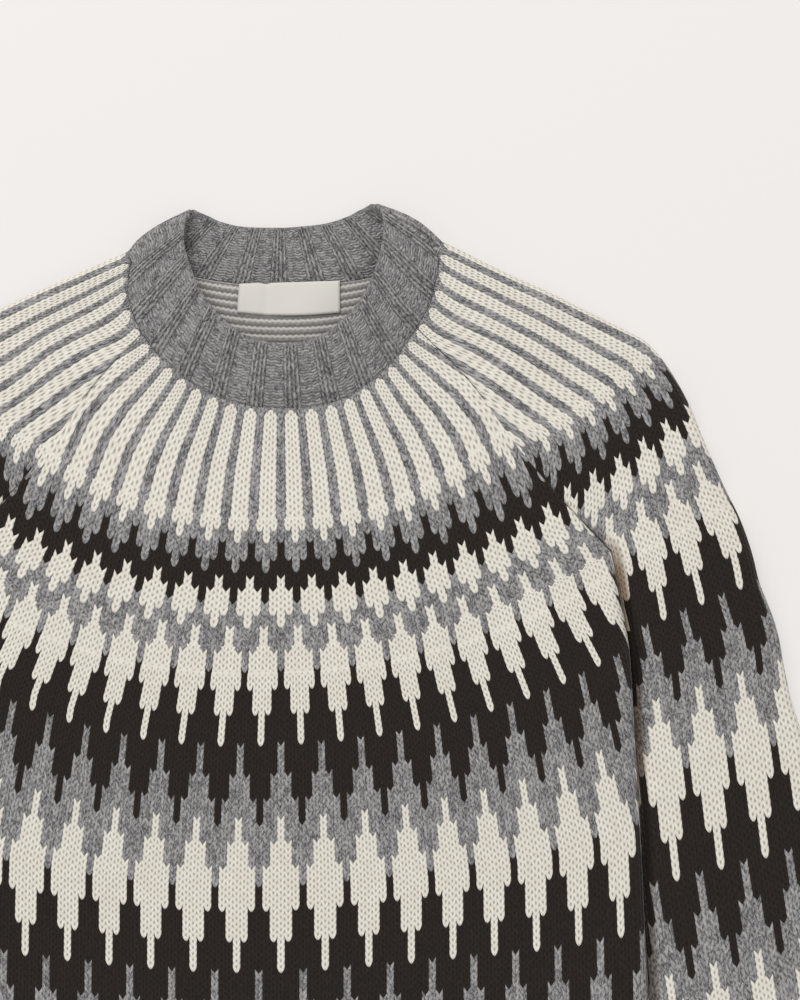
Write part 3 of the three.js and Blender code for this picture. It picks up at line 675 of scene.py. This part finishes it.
def cuff_ends(ring, share):
    inner = right["grid"][-1, 0, :2]
    outer = walk(top_line, SLEEVE["along"][-1])[:2]
    span = outer - inner
    width = np.linalg.norm(span)
    way = span / width
    down = np.array([way[1], -way[0]])
    part = ((ring[:, :2] - inner) @ way / width)[:, None]
    near = inner + span * part
    bent = (ring[:, :2] - near) * (1 - share)
    far_part = mix(0.02, 0.98, part)
    far = np.array(CUFF_INNER) + (np.array(CUFF_OUTER) - np.array(CUFF_INNER)) * far_part
    plan = mix(near + down * BAND_GAP, far, share) + bent
    return np.concatenate([plan, ring[:, 2:]], axis=1)


def linear(colour):
    """An sRGB hex colour as linear red, green, blue and alpha."""
    parts = [int(colour[i:i + 2], 16) / 255 for i in (1, 3, 5)]
    return [p / 12.92 if p <= 0.04045 else ((p + 0.055) / 1.055) ** 2.4 for p in parts] + [1.0]


def add(tree, kind, inputs=None, **settings):
    """Adds a node with its settings. Inputs are values, or numbers and sockets of other nodes."""
    node = tree.nodes.new("ShaderNode" + kind)
    for name, value in settings.items():
        setattr(node, name, value)
    for key, value in (inputs or {}).items():
        if isinstance(value, Number):
            value = value.socket
        if isinstance(value, bpy.types.NodeSocket):
            tree.links.new(value, node.inputs[key])
        else:
            node.inputs[key].default_value = value
    return node


def maths(operation, *values):
    """One step of arithmetic, on at least one number of a material."""
    tree = next(value.tree for value in values if isinstance(value, Number))
    return Number(tree, add(tree, "Math", dict(enumerate(values)), operation=operation).outputs[0])


def sign(operation):
    return lambda *values: maths(operation, *values)


class Number:
    """A number in a material, given by a socket of a node, with the signs of arithmetic."""

    def __init__(self, tree, socket):
        self.tree, self.socket = tree, socket

    __add__ = sign("ADD")
    __sub__ = sign("SUBTRACT")
    __mul__ = sign("MULTIPLY")
    __truediv__ = sign("DIVIDE")
    __mod__ = sign("FLOORED_MODULO")
    __gt__ = sign("GREATER_THAN")
    __lt__ = sign("LESS_THAN")
    __abs__ = sign("ABSOLUTE")

    def __rsub__(self, other):
        return maths("SUBTRACT", other, self)


def ramp(place, stops, constant=True):
    """A grey ramp from (place, value) stops."""
    node = add(place.tree, "ValToRGB", {"Fac": place})
    node.color_ramp.interpolation = "CONSTANT" if constant else "EASE"
    elements = node.color_ramp.elements
    while len(elements) < len(stops):
        elements.new(0.5)
    for element, (at, value) in zip(elements, stops):
        element.position = at
        element.color = (value, value, value, 1)
    return Number(place.tree, node.outputs["Color"])


# The pattern, charted. Each repeat gains a stitch as the yoke widens. For each column of
# stitches, counted from the gap between two stripes, the yarn that starts at a row: W is ecru,
# G grey melange and B black.
STRIPES = {                       # rows to 17, three stitches a repeat
    0: [(-60, "G")],
    1: [(-60, "W")],
}
SMALL_DIAMONDS = {                # rows 18 to 38, four stitches
    0: [(-60, "G"), (21, "B"), (27, "W"), (35, "G")],
    1: [(-60, "W"), (19, "G"), (24, "B"), (29, "W"), (33, "G")],
    2: [(-60, "W"), (21, "G"), (26, "B"), (31, "G"), (35, "W")],
}
MEDIUM_TOPS = {                   # rows 39 to 42, five stitches
    0: [(36, "G"), (42, "B")],
    1: [(36, "G"), (39, "W")],
    2: [(36, "W")],
}
MEDIUM_DIAMONDS = {               # rows 43 to 53, six stitches
    0: [(36, "B")],
    1: [(36, "W"), (45, "B")],
    2: [(36, "W"), (49, "B")],
    3: [(36, "W"), (54, "G")],
}
TIER_START, TIER_ROWS = 54, 37
TIER = {                          # repeats every 37 rows, half a repeat across each time
    0: [(0, "G"), (12, "W")],
    1: [(0, "B"), (5, "G"), (16, "W"), (32, "B")],
    2: [(0, "B"), (9, "G"), (20, "W"), (27, "B")],
    3: [(0, "B"), (13, "G"), (23, "B")],
}
YARN_CODE = {"W": 0.0, "G": 0.5, "B": 1.0}
FIRST_ROW, LAST_ROW = -60, 60
GAINS = (17.6, 38.6, 42.9)        # rows where each repeat gains a stitch, from three to six
FIRST_COUNT = 3
STRIPE_TOP = 0.35                 # rows of grey over the middle of a stripe at the neck seam
STRIPE_ARCH = 9.0                 # how fast that grey deepens towards the stripe's sides
REVERSE_LINES = 1.58              # lines of the reverse side to a row
EDGE_ROLL = 0.3                   # where the smooth edge of a rib ends, in pairs of rows
LEG_RISE = 0.75                   # how far a leg of a stitch climbs, in rows
LEG_ROUND = 1.5                   # above 1 the bottom of a stitch is round and its top sharp
GAP_SPREAD = 0.02                 # how much wider the single grey column of the yoke lies

# hole is painted shade: multiplied into the wool's colour in the holes between stitches, between purl lines
# and in the rib's valleys.
YARN = {"ecru": "#F3EEE3", "ecru_shade": "#DED6C8", "grey_dark": "#4C4B4E", "grey_light": "#B9B7B6",
        "black": "#17120F", "black_light": "#4C433C", "hole": "#6A645C", "brown_shade": "#A08E7C"}
LINE = {"light": "#D0CDC6", "dark": "#7E7B7A"}      # the two lines of the reverse side
SATIN = {"light": "#DFDBD3", "dark": "#CDC8BE"}     # the two threads of the label
HOLE_WIDTH, LINE_WIDTH = 0.24, 0.13     # of the hole at a leg's end, and of the line between rows
SMOOTH_RELIEF = 0.55                    # height of the smooth edge of a rib, among its stitches
FUZZ = 0.2                              # how rough the yarn is beside the relief of a stitch


def blended(factor, a, b):
    return Number(factor.tree, add(factor.tree, "Mix", {"Factor": factor, "A": a, "B": b}).outputs[0])


def charted(row, chart, first, last):
    """One value per column of a chart: the code of the yarn at a row."""
    span = last - first
    place = (row + (0.5 - first)) / span
    return [ramp(place, [((at - first) / span, YARN_CODE[yarn]) for at, yarn in chart[c]])
            for c in sorted(chart)]


def chosen(number, values):
    """Picks one of the values by a whole number."""
    result = values[0]
    for k, value in enumerate(values[1:], 1):
        result = blended(number > k - 0.5, result, value)
    return result


def from_middle(number, n):
    """Stitches between a column and the nearest middle of a gap, n stitches a repeat."""
    inside = number % n
    return maths("MINIMUM", inside, n - inside)


def stitches(u, v, per_repeat):
    """Row, column and place within a stitch, for a surface of V stitches."""
    s = u * per_repeat
    number = maths("ROUND", s)
    beside = s - number
    across = abs(beside) * 2.0
    leg = v - (1.0 - maths("POWER", across, LEG_ROUND)) * LEG_RISE
    row = maths("FLOOR", leg)
    return {"column": number, "across": across, "row": row, "down": leg - row,
            "side": maths("SIGN", beside), "along": v}


def bell(value, width):
    """One at zero, falling away on both sides over a width."""
    far = value / width
    return maths("EXPONENT", far * far * -1.0)


def stitch_relief(st, groove=0.26, line=0.2):
    """Relief of V stitches: plump legs, a small hole at each end of a leg, a faint line where two
    legs of one column lie on each other. Returns the height and the depth of the holes."""
    from_row = 0.5 - abs(st["down"] - 0.5)
    ends = bell(st["across"], HOLE_WIDTH) + bell(1.0 - st["across"], HOLE_WIDTH)
    hole = ends * bell(from_row, HOLE_WIDTH)
    return 1.0 - (hole * 0.5 + (ends * groove + bell(from_row, LINE_WIDTH) * line)), hole


def noise(tree, place, **inputs):
    return Number(tree, add(tree, "TexNoise", dict(inputs, Vector=place)).outputs["Fac"])


def fibres(st):
    """Short streaks of the yarn's own fibres, which lie along each leg."""
    tree = st["across"].tree
    spot = add(tree, "CombineXYZ", {
        "X": (st["across"] + st["along"] * 0.5) * 3.6, "Y": st["along"] * 2.0,
        "Z": st["column"] * 5.3 + st["side"] * 1.7}).outputs[0]
    return noise(tree, spot, Scale=1.0, Detail=3.0, Roughness=0.75)


def stitch_noise(st):
    """One value for each leg of a stitch."""
    tree = st["column"].tree
    spot = add(tree, "CombineXYZ", {"X": st["column"], "Y": st["row"], "Z": st["side"]}).outputs[0]
    return Number(tree, add(tree, "TexWhiteNoise", {"Vector": spot}, noise_dimensions="3D").outputs["Value"])


def colour_mix(factor, a, b, blend="MIX"):
    made = add(factor.tree, "Mix", {0: factor, 6: a, 7: b}, data_type="RGBA", blend_type=blend)
    return made.outputs[2]


def melange(streak, each):
    """Grey made of dark and pale fibres spun together."""
    share = ramp(streak + each * 0.14, [(0.36, 0.0), (0.76, 1.0)], constant=False)
    return colour_mix(share, linear(YARN["grey_dark"]), linear(YARN["grey_light"]))


def surface(tree, inputs):
    shader = add(tree, "BsdfPrincipled", inputs)
    add(tree, "OutputMaterial", {"Surface": shader.outputs[0]})


def object_place(tree):
    return add(tree, "TexCoord").outputs["Object"]


def wool(colour, relief, streak, distance=0.0011):
    """The soft, dull wool shader that wears the stitches' relief and a fine fuzz."""
    tree = relief.tree
    fuzz = noise(tree, object_place(tree), Scale=2200.0, Detail=2.0)
    height = relief + (fuzz + streak) * FUZZ
    bump = add(tree, "Bump", {"Height": height, "Strength": 0.8, "Distance": distance}).outputs["Normal"]
    surface(tree, {"Base Color": colour, "Roughness": 0.95, "Normal": bump, "Sheen Weight": 0.12,
                   "Sheen Roughness": 0.5, "Specular IOR Level": 0.12})


def new_material(name):
    material = bpy.data.materials.new(name)
    material.use_nodes = True
    material.node_tree.nodes.clear()
    return material, material.node_tree


def uv_place(tree, name="knit"):
    """The two numbers of a UV map."""
    uv = add(tree, "UVMap", uv_map=name).outputs["UV"]
    parts = add(tree, "SeparateXYZ", {"Vector": uv}).outputs
    return Number(tree, parts["X"]), Number(tree, parts["Y"])


def stranded_wool():
    """Stranded wool in three yarns: plain V stitches that change colour by the chart. The second
    number of from_neck_seam is how deep the cloth lies in the crease's shade."""
    material, tree = new_material("stranded_wool_knit")
    u, v = uv_place(tree)
    gained = [v > row for row in GAINS]
    sway = maths("SINE", u * (2 * math.pi))
    u = u - sway * ((1.0 - gained[0]) * GAP_SPREAD)
    per_repeat = FIRST_COUNT
    for one in gained:
        per_repeat = one + per_repeat
    st = stitches(u, v, per_repeat)
    row = st["row"]
    joins = [bell(v - gain, 0.22) for gain in GAINS]
    join = joins[0] + (joins[1] + joins[2])
    from_gap = from_middle(st["column"], per_repeat)
    code = chosen(from_gap, charted(row, STRIPES, FIRST_ROW, LAST_ROW))
    for one, chart in zip(gained, (SMALL_DIAMONDS, MEDIUM_TOPS, MEDIUM_DIAMONDS)):
        code = blended(one, code, chosen(from_gap, charted(row, chart, FIRST_ROW, LAST_ROW)))
    below = row - TIER_START
    tier = maths("FLOOR", (below + 0.5) / TIER_ROWS)
    odd = tier % 2.0
    tiers = chosen(abs(from_gap - odd * 3.0), charted(below - tier * TIER_ROWS, TIER, 0, TIER_ROWS))
    code = blended(row > TIER_START - 0.5, code, tiers)
    from_seam, shaded = uv_place(tree, "from_neck_seam")
    aside = maths("FRACT", u) - 0.5
    code = blended(from_seam < aside * aside * STRIPE_ARCH + STRIPE_TOP, code, YARN_CODE["G"])
    relief, hole = stitch_relief(st)
    relief = blended(join * 0.7, relief, 0.75)
    hole = hole * (1.0 - join)
    streak, each = fibres(st), stitch_noise(st)
    patch = noise(tree, object_place(tree), Scale=30.0, Detail=3.0)
    ecru = colour_mix((each + patch) * 0.35, linear(YARN["ecru"]), linear(YARN["ecru_shade"]))
    black = colour_mix(streak * streak, linear(YARN["black"]), linear(YARN["black_light"]))
    colour = colour_mix(code > 0.25, ecru, melange(streak, each))
    colour = colour_mix(code > 0.75, colour, black)
    # Painted shade: the holes at each leg's ends are darkened in the colour.
    colour = colour_mix(hole * 0.6, colour, linear(YARN["hole"]), "MULTIPLY")
    colour = colour_mix(shaded, colour, linear(YARN["brown_shade"]), "MULTIPLY")
    wool(colour, relief, streak)
    return material


def purl_bumps(s, v, per_row, wave):
    """The purl side: wavy lines of small arches, some to a row. Returns them, their relief, the
    depth between them and the line counted down the cloth."""
    line = v * per_row + maths("COSINE", s * (2 * math.pi)) * wave
    row = maths("FLOOR", line)
    hole = bell(0.5 - abs(line - row - 0.5), 0.25)
    st = {"column": maths("FLOOR", s), "row": row, "side": 1.0, "across": line * 0.9, "along": s * 1.2}
    return st, 1.0 - hole * 0.55, hole, line


def reverse_wool():
    """The inside of the stranded knit: purl bumps in soft wavy lines of ecru and grey."""
    material, tree = new_material("stranded_wool_reverse")
    u, v = uv_place(tree)
    st, relief, hole, line = purl_bumps(u * FIRST_COUNT, v, REVERSE_LINES, 0.12)
    streak = fibres(st)
    share = maths("SINE", line * math.pi) * 0.4 + ((streak - 0.5) * 1.6 + 0.5)
    share = ramp(share, [(0.1, 0.0), (0.9, 1.0)], constant=False)
    colour = colour_mix(share, linear(LINE["light"]), linear(LINE["dark"]))
    # Painted shade: the hollows between the purl lines are darkened in the colour.
    colour = colour_mix(hole * 0.25, colour, linear(YARN["hole"]), "MULTIPLY")
    wool(colour, relief, streak, 0.0008)
    return material


def rib_wool():
    """Two by two rib in grey melange wool: two raised columns of upright legs, then a purl valley.
    The first stitches at the free edge roll over and are smooth."""
    material, tree = new_material("melange_wool_rib")
    u, v = uv_place(tree)
    inside = maths("FRACT", u)
    rib_number = maths("FLOOR", u) * 4.0
    is_purl = inside > RIB_KNIT
    st = stitches(inside / (RIB_KNIT / 2) - 0.5 + rib_number, v, 1.0)
    relief = stitch_relief(st, groove=0.75, line=0.12)[0]
    purl_s = (inside - RIB_KNIT) / ((1 - RIB_KNIT) / 2) + rib_number
    purl, purl_relief = purl_bumps(purl_s, v, 2.0, 0.16)[:2]
    both = {key: blended(is_purl, st[key], purl[key]) for key in ("column", "row", "across", "along")}
    both["side"] = st["side"]
    edge = ramp(v / 2.0, [(EDGE_ROLL * 0.5, 1.0), (EDGE_ROLL, 0.0)], constant=False)
    relief = blended(edge, blended(is_purl, relief, purl_relief), SMOOTH_RELIEF)
    streak = fibres(both)
    colour = melange(streak, stitch_noise(both))
    # Painted shade: the lower the relief, in the rib's valleys and between its columns, the darker the
    # colour.
    colour = colour_mix((1.0 - relief) * 0.58, colour, linear(YARN["hole"]), "MULTIPLY")
    wool(colour, relief, streak, 0.0014)
    return material


def label_cloth():
    """Woven polyester satin ribbon: fine weave, a little gloss."""
    material, tree = new_material("woven_satin_label")
    weave = add(tree, "TexWave", {"Vector": object_place(tree), "Scale": 900.0, "Distortion": 0.3},
                bands_direction="Y")
    weave = Number(tree, weave.outputs["Fac"])
    colour = colour_mix(weave * 0.25, linear(SATIN["light"]), linear(SATIN["dark"]))
    bump = add(tree, "Bump", {"Height": weave, "Strength": 0.3, "Distance": 0.0002}).outputs["Normal"]
    surface(tree, {"Base Color": colour, "Roughness": 0.55, "Normal": bump, "Sheen Weight": 0.1})
    return material


knit, reverse, rib, satin = stranded_wool(), reverse_wool(), rib_wool(), label_cloth()
PATTERNED = ("patterned_knit", [knit, reverse], WALL)
RIBBED = ("rib_knit", [rib, rib], RIB_WALL)


def dressed(node, piece, kind, flat, area, **how):
    slot, materials, wall = kind
    made = cloth(node + "_knit", piece, wall, **how)
    for material in materials:
        made.data.materials.append(material)
    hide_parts(node)


dressed("front_panel", front, PATTERNED, (0.52, 0.58), 0.23, folds=FOLDS["front"])
dressed("back_panel", back, PATTERNED, (0.52, 0.62), 0.26, folds=FOLDS["back"], top_only=False)
dressed("sleeve_right", right, PATTERNED, (0.32, 0.68), 0.138, folds=FOLDS["sleeve"])
dressed("sleeve_left", left, PATTERNED, (0.32, 0.68), 0.138, folds=FOLDS["sleeve"], flip=-1)
dressed("neckband", neckband(), RIBBED, (0.6, 0.046), 0.0245)
dressed("hem_band", band([(front, -1), (back, -1)], HEM_RIBS, hem_ends), RIBBED, (1.0, 0.05), 0.049)
cuff = band([(right, -1)], CUFF_RIBS, cuff_ends)
dressed("cuff_right", cuff, RIBBED, (0.25, 0.057), 0.0137)
dressed("cuff_left", mirrored(cuff), RIBBED, (0.25, 0.057), 0.0137)


def neck_label():
    """The blank ribbon label inside the back neck: a thin creased sheet, whose turned-under, sewn ends are
    not shaped.
    """
    bpy.ops.mesh.primitive_grid_add(x_subdivisions=36, y_subdivisions=12, size=1, location=(0, 0, 0))
    label = bpy.context.object
    label.name = label.data.name = "neck_label_ribbon"
    for vertex in label.data.vertices:
        t, down = vertex.co.x + 0.5, 0.5 - vertex.co.y
        x = mix(mix(*LABEL["upper_x"], t), mix(*LABEL["lower_x"], t), down)
        y = mix(mix(*LABEL["upper_y"], t), mix(*LABEL["lower_y"], t), down)
        y -= LABEL["sag"] * math.sin(math.pi * t) * down
        from_crease = (t - LABEL["crease"] - LABEL["crease_lean"] * down) / LABEL["crease_width"]
        pressed_in = math.exp(-from_crease ** 2) * (1 - LABEL["crease_fade"] * down)
        y -= LABEL["crease_pull"] * pressed_in
        z = WALL + mix(LABEL["upper_lift"], LABEL["lower_lift"], down)
        z += LABEL["wave"] * math.sin(9 * t + 2 * down)
        z -= LABEL["crease_depth"] * pressed_in
        vertex.co = (x * MM, (y + TABLE_Y) * MM, z * MM)
    solid = label.modifiers.new("thickness", "SOLIDIFY")
    solid.thickness = LABEL_WALL * MM
    solid.offset = 0
    bpy.ops.object.modifier_apply(modifier="thickness")
    for polygon in label.data.polygons:
        polygon.use_smooth = True
    label.data.materials.append(satin)
    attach(label, "root")
    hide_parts("neck_label")
    bpy.ops.object.select_all(action="DESELECT")


neck_label()


# The studio: a plain pale table lit from below, soft light all round, one soft key above the neck.
BACKGROUND = "#F1EDEA"
FLOOR_GLOW = 0.7                # share of the table's brightness that comes from the light under it
ROOM_LIGHT = 0.64
LAMPS = {                       # place, size and power
    "key": ((-0.9, 1.9, 1.9), 1.6, 36),
    "fill": ((1.6, -1.2, 2.2), 2.2, 6),
}
LAMP_AIM = (0.08, 0.1, 0.0)
PHOTO_MM = 0.68                 # one pixel of the photograph on the table
PHOTO_CENTRE = (400, 500)
ORIGIN_PIXEL = (283.5, 694.5)   # where the garment's X and Y are zero in the photograph
PHOTO_HEIGHT = 1000
LENS, SENSOR = 100.0, 36.0
CLOTH_TOP = 0.014               # the height that the photograph's scale is for


def studio():
    bpy.ops.mesh.primitive_plane_add(size=8, location=(0, 0, -0.0005))
    floor = bpy.context.object
    floor.name = "studio_floor"
    material, tree = new_material("backlit_acrylic_table")
    paper = [channel * (1 - FLOOR_GLOW) for channel in linear(BACKGROUND)[:3]] + [1.0]
    surface(tree, {"Base Color": paper, "Roughness": 0.95, "Specular IOR Level": 0.0,
                   "Emission Color": linear(BACKGROUND), "Emission Strength": FLOOR_GLOW})
    floor.data.materials.append(material)

    world = bpy.data.worlds.new("soft_room")
    bpy.context.scene.world = world
    world.use_nodes = True
    world.node_tree.nodes["Background"].inputs["Color"].default_value = (1, 1, 1, 1)
    world.node_tree.nodes["Background"].inputs["Strength"].default_value = ROOM_LIGHT

    for name, (place, size, power) in LAMPS.items():
        bpy.ops.object.light_add(type="AREA", location=place)
        lamp = bpy.context.object
        lamp.name = name
        lamp.data.shape = "DISK"
        lamp.data.size = size
        lamp.data.energy = power
        way = np.array(LAMP_AIM) - np.array(place)
        lamp.rotation_euler = (math.acos(-way[2] / np.linalg.norm(way)), 0,
                               math.atan2(way[1], way[0]) - math.pi / 2)

    x = (PHOTO_CENTRE[0] - ORIGIN_PIXEL[0]) * PHOTO_MM * MM
    y = ((ORIGIN_PIXEL[1] - PHOTO_CENTRE[1]) * PHOTO_MM + TABLE_Y) * MM
    height = PHOTO_HEIGHT * PHOTO_MM * MM * LENS / SENSOR + CLOTH_TOP
    camera_data = bpy.data.cameras.new("camera")
    camera_data.lens = LENS
    camera_data.sensor_fit = "VERTICAL"
    camera_data.sensor_height = SENSOR
    camera = bpy.data.objects.new("camera", camera_data)
    camera.location = (x, y, height)
    bpy.context.collection.objects.link(camera)
    bpy.context.scene.camera = camera
    bpy.context.scene.view_settings.view_transform = "Standard"


studio()
